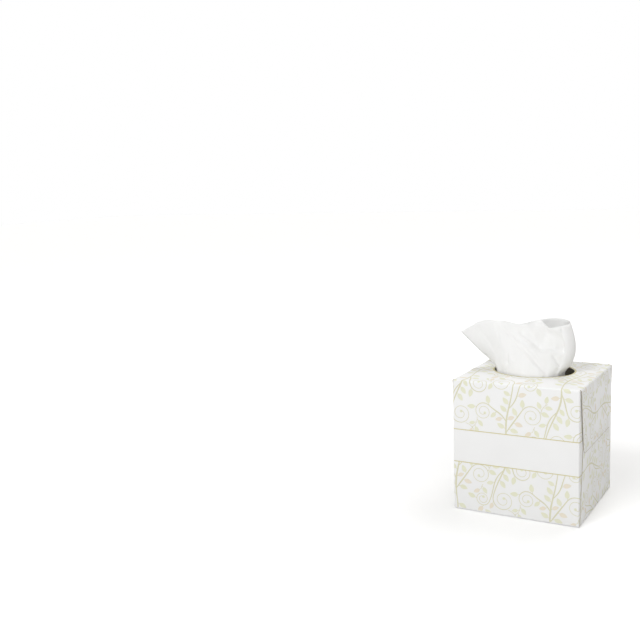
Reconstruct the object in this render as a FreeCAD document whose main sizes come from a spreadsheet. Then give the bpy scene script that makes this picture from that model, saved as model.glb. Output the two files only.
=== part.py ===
import FreeCAD, Part
import Sketcher
import math
import os

# A cube facial tissue box: a glued folding carton, the bent pack of tissues inside it
# and the sheet that stands ready in the oval mouth.
# Millimetres. X runs along the front face, Y from front to back, Z up.
# The origin is the centre of the carton's footprint, on the surface it stands on.

V = FreeCAD.Vector
os.makedirs("parts", exist_ok=True)
doc = FreeCAD.newDocument("tissue_box")

# Driving dimensions

SIZES = [
    ("box_width", 115, "carton, outside, along X"),
    ("box_depth", 115, "carton, outside, along Y"),
    ("box_height", 120, "carton, outside, along Z"),
    ("board", 0.45, "thickness of the folding boxboard"),
    ("fold_radius", 1.5, "outside radius of a creased fold"),
    ("mouth_length", 72, "oval mouth in the top panel, along X"),
    ("mouth_width", 63, "oval mouth in the top panel, along Y"),
    ("flap_shoulder", 2, "step of an outer flap from the carton's corner, at its fold"),
    ("flap_taper", 8.5, "how much further an outer flap draws in by its free edge"),
    ("flap_corner", 4, "cut-off at an outer flap's free corners"),
    ("seam_height", 62, "height of the upper flap's free edge, the seam"),
    ("flap_overlap", 14, "how far the lower outer flap runs up under the upper one"),
    ("dust_flap", 40, "length of a dust flap from the front or back face"),
    ("dust_flap_step", 1, "clearance of a dust flap from the top and bottom panels"),
    ("glue_flap", 14, "width of the glue flap inside the back panel"),
    ("glue_flap_inset", 5, "step of the glue flap from the carton's ends"),
    ("pack_side_room", 3.1, "room between the pack's legs and the dust flaps"),
    ("pack_end_room", 5.05, "room between the pack and the front and back panels"),
    ("pack_head_room", 8.1, "room between the pack's crown and the top panel"),
    ("pack_slit", 1.2, "space between the legs of the pack"),
    ("pack_bend", 46, "depth of pack above the slit"),
    ("sheet_thickness", 0.4, "drawn-up sheet, two plies with their loft"),
    ("sheet_gap", 0.5, "drawn-up sheet's hem above the pack"),
    ("rim_gap", 0.7, "drawn-up sheet inside the mouth's edge"),
    ("hem_reach", 2, "how far the drawn-up sheet's hem spreads under the top panel"),
    ("sheet_rise", 50, "drawn-up sheet above the top panel"),
    ("pleat_depth", 1.4, "depth of the pleats that the mouth gathers the sheet into"),
]

table = doc.addObject("Spreadsheet::Sheet", "Dimensions")
for row, (alias, value, meaning) in enumerate(SIZES, start=1):
    table.set(f"A{row}", alias)
    table.set(f"B{row}", str(value))
    table.set(f"C{row}", meaning)
    table.setAlias(f"B{row}", alias)
doc.recompute()


class Size:
    """A length with the expression on the sheet that it comes from."""

    def __init__(self, value, text):
        self.value = value
        self.text = text

    def joined(self, sign, other, value):
        text = other.text if isinstance(other, Size) else str(other)
        return Size(value, f"({self.text} {sign} {text})")

    def __add__(self, other):
        return self.joined("+", other, self.value + number(other))

    def __sub__(self, other):
        return self.joined("-", other, self.value - number(other))

    def __mul__(self, other):
        return self.joined("*", other, self.value * number(other))

    def __truediv__(self, other):
        return self.joined("/", other, self.value / number(other))

    def __neg__(self):
        return self * -1


def number(length):
    return length.value if isinstance(length, Size) else length


def size(alias):
    return Size(float(table.get(alias)), f"Dimensions.{alias}")


board = size("board")
fold = size("fold_radius")
width = size("box_width")
depth = size("box_depth")
height = size("box_height")
half_width = width / 2
half_depth = depth / 2
mouth_half_length = size("mouth_length") / 2
mouth_half_width = size("mouth_width") / 2
pack_width = width - board * 4 - size("pack_side_room") * 2
pack_depth = depth - board * 2 - size("pack_end_room") * 2
pack_crown = height - board - size("pack_head_room")

# Helpers for bodies, sketches and features


def new_body(name):
    body = doc.addObject("PartDesign::Body", name)
    body.Label = name
    return body


def new_sketch(body, name, role, lift=None):
    """A sketch on one of the body's own origin planes, lifted off it where a height is given."""
    sketch = body.newObject("Sketcher::SketchObject", name)
    plane = next(f for f in body.Origin.OriginFeatures if f.Role == role)
    sketch.AttachmentSupport = [(plane, "")]
    sketch.MapMode = "FlatFace"
    if lift:
        sketch.setExpression("AttachmentOffset.Base.z", lift.text)
    return sketch


def hold(sketch, kind, *where, at):
    """A driving constraint bound to a length."""
    index = sketch.addConstraint(Sketcher.Constraint(kind, *where, at.value))
    sketch.setExpression(f"Constraints[{index}]", at.text)


def outline(sketch, corners):
    """A closed outline through its corners. A corner is (across, up), or (across, up, centre
    across, centre up) where a quarter turn about that centre leads on to the next corner."""
    first = sketch.GeometryCount
    count = len(corners)
    heads = []
    for i, corner in enumerate(corners):
        start = V(corner[0].value, corner[1].value, 0)
        after = corners[(i + 1) % count]
        end = V(after[0].value, after[1].value, 0)
        heads.append(1)
        if len(corner) == 2:
            sketch.addGeometry(Part.LineSegment(start, end), False)
            continue
        centre = V(corner[2].value, corner[3].value, 0)
        circle = Part.Circle(centre, V(0, 0, 1), (start - centre).Length)
        if (start - centre).cross(end - centre).z < 0:
            start, end = end, start
            heads[-1] = 2
        arc = Part.ArcOfCircle(circle, circle.parameter(start), circle.parameter(end))
        sketch.addGeometry(arc, False)
    for i, corner in enumerate(corners):
        here = first + i
        after = (i + 1) % count
        tail = 3 - heads[i]
        sketch.addConstraint(Sketcher.Constraint("Coincident", here, tail, first + after, heads[after]))
        hold(sketch, "DistanceX", -1, 1, here, heads[i], at=corner[0])
        hold(sketch, "DistanceY", -1, 1, here, heads[i], at=corner[1])
        if len(corner) > 2:
            hold(sketch, "DistanceX", -1, 1, here, 3, at=corner[2])


def rectangle(sketch, left, right, low, high):
    outline(sketch, [(left, low), (right, low), (right, high), (left, high)])


def pad(body, sketch, name, length):
    feature = body.newObject("PartDesign::Pad", name)
    feature.Profile = sketch
    feature.SideType = "Symmetric"
    feature.setExpression("Length", length.text)
    doc.recompute()
    return feature


def pocket(body, sketch, name, length, side="Symmetric", reverse=False):
    before = body.Shape.Volume
    feature = body.newObject("PartDesign::Pocket", name)
    feature.Profile = sketch
    feature.SideType = side
    feature.Reversed = reverse
    feature.setExpression("Length", length.text)
    doc.recompute()
    if feature.Shape.Volume > before - 1e-3:
        raise RuntimeError(f"{name} cuts nothing")
    return feature


# The carton: one blank of boxboard, printed outside, folded round the pack and glued

def rounded_block(body, name, inset, radius):
    """A block set in from the outside of the panels and dust flaps, with all its edges rounded."""
    end = half_width - board * 2 - inset
    sketch = new_sketch(body, f"{name}_outline", "YZ_Plane")
    rectangle(sketch, inset - half_depth, half_depth - inset, inset, height - inset)
    block = pad(body, sketch, name, end * 2)
    edges = [f"Edge{i}" for i in range(1, len(block.Shape.Edges) + 1)]
    rounded = body.newObject("PartDesign::Fillet", f"{name}_folds")
    rounded.Base = (block, edges)
    rounded.setExpression("Radius", radius.text)
    doc.recompute()


def folded_panels(body):
    """Front, top, back and bottom panels, with the layer of the dust flaps across both ends."""
    rounded_block(body, "tube", height * 0, fold)
    inside = new_body("carton_inside")
    rounded_block(inside, "inside", board, fold - board)
    hollow = body.newObject("PartDesign::Boolean", "hollow")
    hollow.Type = "Cut"
    hollow.setObjects([inside])
    doc.recompute()


def end_openings(body):
    """What the four dust flaps leave open at each end: the middle, and a step above and below."""
    out = half_depth - size("flap_shoulder")
    tip = half_depth - size("dust_flap")
    low = fold
    high = height - fold
    low_edge = low + size("dust_flap_step")
    high_edge = high - size("dust_flap_step")
    sketch = new_sketch(body, "dust_flap_edges", "YZ_Plane")
    outline(sketch, [
        (-out, low), (out, low), (out, low_edge), (tip, low_edge), (tip, high_edge), (out, high_edge),
        (out, high), (-out, high), (-out, high_edge), (-tip, high_edge), (-tip, low_edge), (-out, low_edge),
    ])
    pocket(body, sketch, "dust_flap_cuts", width)


def outer_flaps(body):
    """The lower and upper outer flaps, each bent over from its panel at both ends."""
    seam = size("seam_height")
    along = depth - size("flap_shoulder") * 2
    root = half_width - fold * 2
    zero = height * 0
    for name, face, low_panel in (("lower", half_width - board, True), ("upper", half_width, False)):
        sketch = new_sketch(body, f"{name}_flap_section", "XZ_Plane")
        for side in (1, -1):
            skin = face * side
            back = (face - board) * side
            start = root * side
            centre = (face - fold) * side
            if low_panel:
                free, panel, lining, bend = seam + size("flap_overlap"), zero, board, fold
            else:
                free, panel, lining, bend = seam, height, height - board, height - fold
            outline(sketch, [
                (start, panel),
                (centre, panel, centre, bend),
                (skin, bend),
                (skin, free),
                (back, free),
                (back, bend, centre, bend),
                (centre, lining),
                (start, lining),
            ])
        pad(body, sketch, f"{name}_flaps", along)


def flap_edges(body):
    """The outer flaps taper to their free edges, where their corners are cut off."""
    step = half_depth - size("flap_shoulder")
    drawn = step - size("flap_taper")
    corner = size("flap_corner")
    seam = size("seam_height")
    lower_free = seam + size("flap_overlap")
    low = fold
    high = height - fold
    upper_inside = half_width - board
    lower_inside = half_width - board * 2
    # each cut starts under its own flap: the lower flap lies one board further in
    for name, inside, free, root, turn, deep in (
        ("upper", upper_inside, seam, high, 1, board * 2),
        ("lower", lower_inside, lower_free, low, -1, board),
    ):
        for end, hand in ((1, "right"), (-1, "left")):
            sketch = new_sketch(body, f"{name}_flap_edge_{hand}", "YZ_Plane", inside * end)
            for side in (1, -1):
                outline(sketch, [
                    (step * side, root),
                    (drawn * side, free + corner * turn),
                    ((drawn - corner) * side, free),
                    ((drawn - corner) * side, free - board * turn),
                    ((half_depth + board) * side, free - board * turn),
                    ((half_depth + board) * side, root),
                ])
            pocket(body, sketch, f"{name}_flap_cut_{hand}", deep, side="One side", reverse=end > 0)


def glue_flap(body):
    """The strip that closes the tube, glued to the inside of the back panel along its foot."""
    inner = half_depth - board
    along = width - board * 6 - size("glue_flap_inset") * 2
    sketch = new_sketch(body, "glue_flap_section", "YZ_Plane")
    rectangle(sketch, inner - board, inner, fold, fold + size("glue_flap"))
    pad(body, sketch, "glue_flap", along)


def mouth(body):
    """The oval mouth, left where the tear-out panel has been taken away."""
    sketch = new_sketch(body, "mouth_outline", "XY_Plane", height)
    across = V(mouth_half_length.value, 0, 0)
    along = V(0, mouth_half_width.value, 0)
    sketch.addGeometry(Part.Ellipse(across, along, V(0, 0, 0)), False)
    sketch.exposeInternalGeometry(0)
    long_axis, short_axis = 1, 2
    sketch.addConstraint(Sketcher.Constraint("Coincident", 0, 3, -1, 1))
    sketch.addConstraint(Sketcher.Constraint("Horizontal", long_axis))
    hold(sketch, "Distance", long_axis, at=mouth_half_length * 2)
    hold(sketch, "Distance", short_axis, at=mouth_half_width * 2)
    pocket(body, sketch, "mouth", board * 2, side="One side")


def carton():
    body = new_body("carton")
    folded_panels(body)
    end_openings(body)
    outer_flaps(body)
    flap_edges(body)
    glue_flap(body)
    mouth(body)
    return body


# The pack: interfolded tissues in one clip, bent over so that its two legs stand on the bottom

def tissue_pack():
    body = new_body("tissue_pack")
    leg = pack_width / 2
    foot = board
    crown = pack_crown
    bend = crown - leg
    section = new_sketch(body, "pack_section", "XZ_Plane")
    zero = leg * 0
    outline(section, [
        (-leg, foot),
        (leg, foot),
        (leg, bend, zero, bend),
        (zero, crown, zero, bend),
        (-leg, bend),
    ])
    pad(body, section, "clip", pack_depth)
    gap = size("pack_slit") / 2
    top = crown - size("pack_bend")
    section = new_sketch(body, "slit_section", "XZ_Plane")
    outline(section, [
        (-gap, -foot),
        (gap, -foot),
        (gap, top - gap, zero, top - gap),
        (zero, top, zero, top - gap),
        (-gap, top - gap),
    ])
    pocket(body, section, "slit", depth)
    return body


# The sheet that stands ready: half a sheet turned round on itself, gathered by the mouth and
# fanned out above it. The outlines run from the front layer's free edge, at the left, round the
# soft fold at the right to the back layer's free edge. Their points are shares: across and along
# of the mouth's half length and half width, and up of the sheet's rise above the top panel.

TOP_EDGE = [
    (-2.00, 0.09, 0.66), (-1.72, 0.03, 0.77), (-1.33, -0.06, 0.95), (-1.04, -0.13, 0.92),
    (-0.67, -0.16, 0.95), (-0.39, -0.19, 0.88), (-0.06, -0.19, 0.92), (0.27, -0.19, 1.03),
    (0.44, -0.40, 0.83), (0.68, -0.40, 0.91), (0.97, -0.12, 0.93), (0.82, 0.22, 0.99),
    (0.37, 0.28, 0.99), (-0.17, 0.28, 0.90), (-0.72, 0.25, 0.80), (-1.22, 0.22, 0.66),
]
SHOULDER = [
    (-1.76, 0.11, 0.50), (-1.44, -0.03, 0.54), (-1.14, -0.20, 0.58), (-0.86, -0.34, 0.60),
    (-0.56, -0.42, 0.60), (-0.25, -0.45, 0.58), (0.06, -0.46, 0.58), (0.33, -0.40, 0.60),
    (0.58, -0.32, 0.58), (0.86, -0.36, 0.56), (1.19, -0.09, 0.56), (1.00, 0.25, 0.56),
    (0.47, 0.38, 0.58), (-0.11, 0.41, 0.56), (-0.67, 0.38, 0.52), (-1.17, 0.28, 0.44),
]
WAIST = [
    (-1.27, 0.11, 0.16), (-1.06, -0.20, 0.16), (-0.86, -0.45, 0.18), (-0.67, -0.60, 0.19),
    (-0.47, -0.72, 0.20), (-0.22, -0.78, 0.20), (0.03, -0.80, 0.20), (0.28, -0.76, 0.20),
    (0.52, -0.66, 0.20), (0.80, -0.50, 0.20), (1.08, -0.10, 0.20), (0.88, 0.26, 0.20),
    (0.39, 0.44, 0.20), (-0.08, 0.48, 0.20), (-0.53, 0.43, 0.18), (-0.92, 0.28, 0.14),
]
# in the mouth, as shares of its half length and half width less the clearance at the rim
GATHER = [
    (-0.97, 0.09), (-0.93, -0.39), (-0.75, -0.66), (-0.57, -0.76),
    (-0.38, -0.92), (-0.14, -0.99), (0.11, -1.00), (0.34, -0.95),
    (0.53, -0.85), (0.72, -0.64), (0.84, -0.20), (0.74, 0.20),
    (0.37, 0.40), (-0.11, 0.46), (-0.57, 0.40), (-0.88, 0.26),
]
NECK_SHARES = (1.00, 0.07)
SHEET_COLUMNS = 76
SHEET_ROWS = 20
# creases of the front and the back layer: from, to (across and up), how far the paper stands
# out there and half the crease's width, both as shares of the rise
LAYERS_PART = 0.62
FRONT_CREASES = [
    ((-0.67, 0.80), (0.39, 0.16), -0.036, 0.080), ((0.06, 0.92), (0.72, 0.50), 0.044, 0.100),
    ((0.72, 0.54), (1.06, 0.46), -0.030, 0.080), ((0.67, 0.44), (0.92, 0.16), -0.026, 0.080),
    ((0.33, 0.80), (0.94, 0.64), -0.044, 0.130), ((-1.00, 0.80), (-0.33, 0.24), 0.022, 0.100),
]
BACK_CREASES = [
    ((0.28, 0.90), (-0.56, 0.20), 0.024, 0.100), ((-0.28, 0.84), (-0.94, 0.24), -0.024, 0.100),
    ((0.69, 0.80), (0.42, 0.16), -0.026, 0.100),
]
PLEATS = 9
PLEAT_FADE_SHARE = 0.50


def sheet_net():
    """Control points of the sheet, from the hem on the pack up to the top edge."""
    half_length = mouth_half_length.value
    half_breadth = mouth_half_width.value
    gap = size("rim_gap").value
    reach = size("hem_reach").value
    rise = size("sheet_rise").value
    panel = height.value
    hem, gather, neck = [], [], []
    for across, along in GATHER:
        x = across * (half_length - gap)
        y = along * (half_breadth - gap)
        spread_x = x * (1 + reach / half_length)
        spread_y = y * (1 + reach / half_breadth)
        hem.append(V(spread_x, spread_y, (pack_crown + size("sheet_gap")).value))
        gather.append(V(x, y, panel - board.value))
        draw, lift = NECK_SHARES
        neck.append(V(x * draw, y * draw, panel + lift * rise))
    fan = [
        [V(x * half_length, y * half_breadth, panel + z * rise) for x, y, z in row]
        for row in (WAIST, SHOULDER, TOP_EDGE)
    ]
    return [hem, gather, neck] + fan


def knots(count, degree):
    """Knots and multiplicities of an even spline that ends on its last control points."""
    spans = count - degree
    marks = [i / spans for i in range(spans + 1)]
    return marks, [degree + 1] + [1] * (spans - 1) + [degree + 1]


def shares(count):
    return [i / count for i in range(count + 1)]


def spline_skin(net):
    """A smooth surface drawn by a net of control points."""
    degree = 3
    u_marks, u_counts = knots(len(net[0]), degree)
    v_marks, v_counts = knots(len(net), degree)
    columns = [[row[i] for row in net] for i in range(len(net[0]))]
    skin = Part.BSplineSurface()
    skin.buildFromPolesMultsKnots(
        columns, u_counts, v_counts, u_marks, v_marks, False, False, degree, degree)
    return skin


def facets_between(first, second):
    """Flat triangles between two rows of points of the same length."""
    faces = []
    for a, b, c, d in zip(first, first[1:], second[1:], second):
        for corners in ((a, b, c), (a, c, d)):
            faces.append(Part.Face(Part.makePolygon([*corners, corners[0]])))
    return faces


def creased(point, u):
    """How far the paper stands out of its smooth form, in its creases and in the gather's pleats."""
    rise = size("sheet_rise").value
    half_length = mouth_half_length.value
    height_share = (point.z - height.value) / rise
    out = 0
    for start, end, stands, half_crease in FRONT_CREASES if u < LAYERS_PART else BACK_CREASES:
        foot = V(start[0] * half_length, start[1] * rise, 0)
        along = V(end[0] * half_length, end[1] * rise, 0) - foot
        here = V(point.x, point.z - height.value, 0) - foot
        share = here.dot(along) / along.dot(along)
        aside = (here - along * share).Length / (half_crease * rise)
        fade = max(0, min(1, (share + 0.25) * 3, (1.25 - share) * 3))
        out += stands * rise * math.exp(-aside ** 1.5) * fade
    fade = max(0, 1 - abs(height_share) / PLEAT_FADE_SHARE) ** 1.5
    wave = 0.5 - 0.5 * math.cos(2 * math.pi * (PLEATS * u + 0.35 * math.sin(11 * u)))
    return out - size("pleat_depth").value * wave * fade


def popup_tissue():
    """The sheet as a closed solid: two skins of flat facets and the four edge strips between them."""
    middle = spline_skin(sheet_net())
    half = size("sheet_thickness").value / 2
    facing = -1 if middle.normal(LAYERS_PART / 2, 0.5).y > 0 else 1
    skins = [[], []]
    for v in shares(SHEET_ROWS):
        rows = ([], [])
        for u in shares(SHEET_COLUMNS):
            point = middle.value(u, v)
            out = middle.normal(u, v) * facing
            stands = creased(point, u)
            rows[0].append(point + out * (stands + half))
            rows[1].append(point + out * (stands - half))
        skins[0].append(rows[0])
        skins[1].append(rows[1])
    outer, inner = skins
    faces = []
    for skin in skins:
        for low, high in zip(skin, skin[1:]):
            faces += facets_between(low, high)
    for edge in (0, -1):
        faces += facets_between(outer[edge], inner[edge])
        faces += facets_between([row[edge] for row in outer], [row[edge] for row in inner])
    sewn = Part.Compound(faces)
    sewn.sewShape()
    solid = Part.Solid(sewn.Shells[0])
    if solid.Volume < 0:
        solid.reverse()
    tissue = doc.addObject("Part::Feature", "popup_tissue")
    tissue.Label = "popup_tissue"
    tissue.Shape = solid
    tissue.Placement = FreeCAD.Placement()
    return tissue


pieces = [carton(), tissue_pack(), popup_tissue()]
doc.recompute()
for item in doc.Objects:
    if "Invalid" in item.State or "Error" in item.State:
        raise RuntimeError(f"{item.Label} did not build")
for piece in pieces:
    shape = piece.Shape
    if shape.isNull() or not shape.isValid():
        raise RuntimeError(f"{piece.Label} has no sound shape")
    shape.exportStep(f"parts/{piece.Label}.step")
    print(piece.Label, len(shape.Solids), "solid", round(shape.Volume), "mm3")
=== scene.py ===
import bmesh
import bpy
import math
import random
from mathutils import Matrix, Vector, noise


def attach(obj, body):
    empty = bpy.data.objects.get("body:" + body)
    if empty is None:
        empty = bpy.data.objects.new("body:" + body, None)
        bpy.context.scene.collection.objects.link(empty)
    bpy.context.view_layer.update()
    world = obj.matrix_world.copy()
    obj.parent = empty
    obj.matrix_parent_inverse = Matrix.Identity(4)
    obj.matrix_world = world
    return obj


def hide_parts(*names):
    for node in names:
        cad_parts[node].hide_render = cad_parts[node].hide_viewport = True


# A cube facial tissue box with a vine print and one sheet standing ready in its oval mouth

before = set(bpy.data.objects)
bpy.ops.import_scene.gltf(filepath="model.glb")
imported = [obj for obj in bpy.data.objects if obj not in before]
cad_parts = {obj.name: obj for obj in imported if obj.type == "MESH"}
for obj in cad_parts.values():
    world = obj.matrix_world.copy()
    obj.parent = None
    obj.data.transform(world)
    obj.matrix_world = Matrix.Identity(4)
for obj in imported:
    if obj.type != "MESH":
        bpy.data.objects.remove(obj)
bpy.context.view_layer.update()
MM = 0.001                    # metres in a millimetre

BOX = 115 * MM                # the box outside, along x and y
BOX_HEIGHT = 120 * MM
BOARD = 0.45 * MM             # thickness of the folding boxboard
FOLD = 1.5 * MM               # outside radius of a creased fold
MOUTH_LENGTH = 72 * MM / 2    # the oval mouth's half length along x
MOUTH_WIDTH = 63 * MM / 2     # and its half width along y
SEAM = 62 * MM                # height of the upper outer flap's free edge
BAND_LOW = 45 * MM            # the bare band on the front and the back
BAND_HIGH = 75 * MM
INK_LIFT = 0.05 * MM          # how far the ink stands off the board
TOP_BOW = 2.1 * MM            # how far the pack presses the top panel up in its middle
TOP_SKIN = 1.1 * BOARD        # what is no further below the flat top than this belongs to the top panel

collection = bpy.context.scene.collection


def finished(name, bm, materials, smooth=True):
    """A mesh object of the frame, with its place in its mesh, riding on the box."""
    mesh = bpy.data.meshes.new(name)
    bm.to_mesh(mesh)
    bm.free()
    piece = bpy.data.objects.new(name, mesh)
    collection.objects.link(piece)
    for material in materials:
        mesh.materials.append(material)
    mesh.polygons.foreach_set("use_smooth", [smooth] * len(mesh.polygons))
    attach(piece, "root")
    return piece


# Materials


def paint(name, colour, roughness, **sockets):
    """A plain Principled material, with what is the same all over set on the shader's own sockets."""
    material = bpy.data.materials.new(name)
    material.use_nodes = True
    shader = material.node_tree.nodes["Principled BSDF"]
    shader.inputs["Base Color"].default_value = (*colour, 1)
    shader.inputs["Roughness"].default_value = roughness
    for socket, value in sockets.items():
        shader.inputs[socket.replace("_", " ")].default_value = value
    return material, material.node_tree, shader


def node(tree, kind, links=None, **values):
    """A node with its settings, its inputs set or linked by name."""
    made = tree.nodes.new(kind)
    for key, value in values.items():
        setattr(made, key, value)
    for socket, value in (links or {}).items():
        if isinstance(value, bpy.types.NodeSocket):
            tree.links.new(value, made.inputs[socket])
        else:
            made.inputs[socket].default_value = value
    return made


def srgb(code):
    """Linear colour of a hex colour."""
    parts = [int(code[i:i + 2], 16) / 255 for i in (0, 2, 4)]
    return tuple(c / 12.92 if c <= 0.04045 else ((c + 0.055) / 1.055) ** 2.4 for c in parts)


def place(tree):
    """Where a point of the surface lies on the object itself."""
    return node(tree, "ShaderNodeTexCoord").outputs["Object"]


def mottle(tree, where, scale, detail=3.0, rough=0.6):
    """A soft noise between nought and one."""
    made = node(tree, "ShaderNodeTexNoise",
                {"Vector": where, "Scale": scale, "Detail": detail, "Roughness": rough})
    return made.outputs["Fac"]


def blend(tree, factor, first, second):
    """Colour between two, led by a factor."""
    mix = node(tree, "ShaderNodeMix", data_type="RGBA")
    tree.links.new(factor, mix.inputs["Factor"])
    for socket, colour in (("A", first), ("B", second)):
        target = next(i for i in mix.inputs if i.name == socket and i.type == "RGBA")
        target.default_value = (*colour, 1)
    return next(o for o in mix.outputs if o.type == "RGBA")


def bump(tree, shader, height, strength, distance):
    made = node(tree, "ShaderNodeBump", {"Height": height, "Strength": strength, "Distance": distance})
    tree.links.new(made.outputs["Normal"], shader.inputs["Normal"])


def coated_board():
    material, tree, shader = paint("coated_board", srgb("F0F0EF"), roughness=0.42,
                                   Coat_Weight=0.12, Coat_Roughness=0.3)
    where = place(tree)
    clouds = mottle(tree, where, scale=38)
    grain = mottle(tree, where, scale=900, detail=2.0)
    tree.links.new(blend(tree, clouds, srgb("EEEEED"), srgb("F2F2F2")), shader.inputs["Base Color"])
    bump(tree, shader, grain, strength=0.12, distance=0.12 * MM)
    return material


def raw_board():
    material, tree, shader = paint("raw_board", srgb("CFC8B9"), roughness=0.92)
    where = place(tree)
    fibres = mottle(tree, where, scale=1400, detail=4.0, rough=0.75)
    felt = mottle(tree, where, scale=1700, detail=4.0)
    tree.links.new(blend(tree, fibres, srgb("B8B0A0"), srgb("DDD7CA")), shader.inputs["Base Color"])
    bump(tree, shader, felt, strength=0.3, distance=0.1 * MM)
    return material


def ink(name, light, dark):
    material, tree, shader = paint(name, srgb(light), roughness=0.45)
    cover = mottle(tree, place(tree), scale=300, detail=2.0)
    tree.links.new(blend(tree, cover, srgb(dark), srgb(light)), shader.inputs["Base Color"])
    return material


def tissue_paper(name, light, shade):
    material, tree, shader = paint(name, srgb(light), roughness=0.9, Sheen_Weight=0.15, Sheen_Roughness=0.6,
                                   Subsurface_Weight=0.15, Subsurface_Scale=2 * MM,
                                   Subsurface_Radius=(1, 1, 1))
    where = place(tree)
    clouds = mottle(tree, where, scale=160, detail=4.0, rough=0.7)
    across = node(tree, "ShaderNodeMapping", {"Vector": where, "Scale": (420, 420, 1500)})
    crepe = mottle(tree, across.outputs["Vector"], scale=1.0, detail=3.0, rough=0.65)
    tree.links.new(blend(tree, clouds, srgb(shade), srgb(light)), shader.inputs["Base Color"])
    bump(tree, shader, crepe, strength=0.25, distance=0.25 * MM)
    return material


BOARD_WHITE = coated_board()
BOARD_RAW = raw_board()
LEAF_INK = ink("leaf_ink", "E7E6D2", "E1E2C6")
STEM_INK = ink("stem_ink", "DDDAC0", "D7D4B6")
LINE_INK = ink("line_ink", "D4CC9A", "CCC38C")
LEAF_INK_WARM = ink("leaf_ink_warm", "EAE3D4", "E6DDCA")
TISSUE = tissue_paper("tissue_paper", "F9F9F8", "F4F4F3")
# the pack's paper is the same tissue painted darker, as painted shade for where it lies inside the box
TISSUE_SHADED = tissue_paper("tissue_painted_shade", "EFEFEC", "E6E6E2")

# Carton

SAME_POINT = 0.01 * MM        # corners nearer than this are one
FLAT_BEND = math.radians(0.4)
SHARP_BEND = math.radians(35)
PRESS_STEP = 5 * MM           # the top panel is cut this finely to take its bow
SKIN_ROOM = 0.1 * MM
FACING = 0.02                 # a face looks a way when its normal has more than this of it
FACING_FULLY = 0.98


def bowed(bm):
    """Presses the top panel up a little, as the pack does: most in the middle, not at all at the folds."""
    half = BOX / 2
    for vert in bm.verts:
        if vert.co.z > BOX_HEIGHT - TOP_SKIN:
            across = max(0.0, 1 - (abs(vert.co.x) / half) ** 3)
            along = max(0.0, 1 - (abs(vert.co.y) / half) ** 3)
            vert.co.z += TOP_BOW * across * along


def coated(face):
    """Whether a face of the board is its white outside, on a panel, a round or one of the flaps' layers."""
    outside = BOX / 2
    middle_height = BOX_HEIGHT / 2
    middle = face.calc_center_median()
    normal = face.normal
    across = (abs(middle.x) + 2 * BOARD > outside - FOLD) and abs(normal.x) > FACING
    along = abs(middle.y) > outside - FOLD and abs(normal.y) > FACING
    up = abs(middle.z - middle_height) > middle_height - FOLD and abs(normal.z) > FACING
    out = normal.dot(Vector((middle.x * across, middle.y * along, (middle.z - middle_height) * up)))
    depth = outside - abs(middle.x)
    on_layer = any(abs(depth - layer * BOARD) < SKIN_ROOM for layer in range(3))
    return out > 0 and (on_layer or abs(normal.x) <= FACING_FULLY)


def carton_shell():
    """The folded board itself, white outside and raw at its cut edges and inside."""
    bm = bmesh.new()
    bm.from_mesh(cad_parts["carton"].data)
    bmesh.ops.remove_doubles(bm, verts=bm.verts[:], dist=SAME_POINT)
    bmesh.ops.dissolve_limit(bm, angle_limit=FLAT_BEND, verts=bm.verts[:], edges=bm.edges[:])
    bmesh.ops.triangulate(bm, faces=[f for f in bm.faces if len(f.verts) > 4])
    for face in bm.faces:
        face.material_index = 0 if coated(face) else 1
        face.smooth = True
    for edge in bm.edges:
        if len(edge.link_faces) == 2 and edge.calc_face_angle() > SHARP_BEND:
            edge.smooth = False
    cuts = int(BOX / 2 / PRESS_STEP)
    for k in range(-cuts, cuts + 1):
        for across in (Vector((1, 0, 0)), Vector((0, 1, 0))):
            top = [f for f in bm.faces if f.calc_center_median().z > BOX_HEIGHT - TOP_SKIN]
            around = {v for f in top for v in f.verts} | {e for f in top for e in f.edges}
            bmesh.ops.bisect_plane(bm, geom=top + list(around), plane_co=across * (k * PRESS_STEP),
                                   plane_no=across)
    bowed(bm)
    bmesh.ops.triangulate(bm, faces=[f for f in bm.faces if len(f.verts) > 4])
    shell = finished("carton_board", bm, [BOARD_WHITE, BOARD_RAW])
    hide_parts("carton")


carton_shell()

# Print

# a traditional scroll of vines, drawn flat on the blank in millimetres and folded with it
TILE_WIDTH = 88.0
TILE_HEIGHT = 66.0
TILE_SHIFT = 34.0             # how far each row of tiles steps aside
TILE_LEAN = math.radians(-12)

# centre, radius and hand (1 turns left) of each curl, the stem that it leaves (None where it has a root of
# its own), the root or a share of that stem, the heading there in degrees, and the width at the root
CURLS = [
    ((18.0, 50.0), 10.4, 1, None, (34.0, -3.0), 110, 1.5),
    ((50.0, 27.0), 9.4, -1, 0, 0.16, -36, 1.1),
    ((7.5, 18.5), 8.0, 1, 0, 0.34, 34, 1.0),
    ((42.5, 54.0), 7.2, -1, 0, 0.60, -32, 0.8),
    ((75.5, 10.5), 9.6, 1, None, (68.0, 63.0), 290, 1.5),
    ((86.5, 42.0), 8.2, 1, 4, 0.16, 26, 1.0),
    ((57.0, 5.5), 6.4, -1, 4, 0.50, -26, 0.8),
]
CURL_TURNS = 1.75
CURL_CORE = 1.9               # radius of the curl's heart
CURL_DRAW_IN = 0.85
POINTS_A_TURN = 26
LEAD_STEP = 1.1
LEAD_REACH = 0.45             # how far a stem runs on straight at either end, as a share of its length
LINE_WIDTH = 0.46
BERRY = 1.3

# the curl that a sprig grows out of, where on its round in degrees, length, and the side that it bends to
SPRIGS = [
    (0, 70, 13, 1), (1, -60, 12, -1), (2, 235, 12, 1), (5, 40, 14, -1), (3, 80, 10, 1),
    (4, -50, 12, 1), (1, 40, 10, 1), (0, 190, 12, -1), (6, 240, 10, 1), (2, 120, 10, -1),
]


def heading_at(points, i):
    """The way a stem runs at one of its points."""
    ahead = points[min(i + 1, len(points) - 1)] - points[max(i - 1, 0)]
    return math.atan2(ahead.y, ahead.x)


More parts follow.
